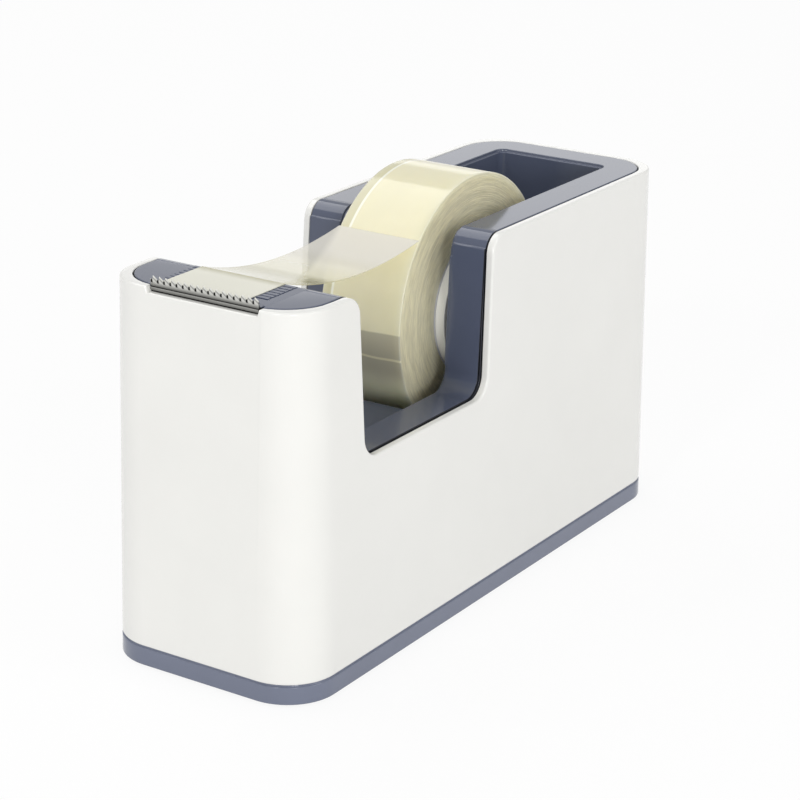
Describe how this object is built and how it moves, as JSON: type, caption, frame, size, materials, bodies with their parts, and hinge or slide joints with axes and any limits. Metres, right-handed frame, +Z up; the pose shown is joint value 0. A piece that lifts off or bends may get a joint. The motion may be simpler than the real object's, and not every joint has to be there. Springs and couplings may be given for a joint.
{
  "type": "desktop tape dispenser",
  "caption": "Weighted desktop tape dispenser: white shell with a U-shaped side cut, blue-grey liner with a roll well, serrated cutter, and a spool that spins and lifts out.",
  "frame": {"origin": "under the middle of the body, on the surface that the feet stand on", "axes": "+X across the width, +Y along the length away from the cutter, +Z up"},
  "size_m": [0.0478, 0.14, 0.0834],
  "materials": {
    "shell_white": "gloss, smooth moulded",
    "slate_plastic": "satin gloss, smooth moulded",
    "blade_steel": "ground and bright at the teeth",
    "screw_steel": "zinc plated",
    "ballast_iron": "raw",
    "foot_rubber": "matt",
    "hub_plastic": "fine moulded",
    "core_plastic": "smooth",
    "tape": "glossy film wound in layers",
    "tape_film": "clear, faintly yellow film"
  },
  "bodies": {
    "stand": {"outer_shell": "shell_white", "well_liner": "slate_plastic", "cutter_blade": "blade_steel", "base_plate": "slate_plastic", "ballast_block": "ballast_iron", "base_screws": "screw_steel", "foot_front_left": "foot_rubber", "foot_front_right": "foot_rubber", "foot_rear_left": "foot_rubber", "foot_rear_right": "foot_rubber"},
    "spindle": {"axle": "hub_plastic", "tape_strip": "tape_film"},
    "spool": {"hub_left": "hub_plastic", "hub_right": "hub_plastic", "tape_core": "core_plastic", "tape_roll": "tape"}
  },
  "joints": [
    {"name": "spool_lift", "type": "slide", "parent": "stand", "child": "spindle", "axis": [0, 0, 1], "range_m": [0, 0.05]},
    {"name": "spool_spin", "type": "hinge", "parent": "spindle", "child": "spool", "pos_m": [0, 0.0125, 0.0561], "axis": [1, 0, 0], "continuous": true}
  ]
}
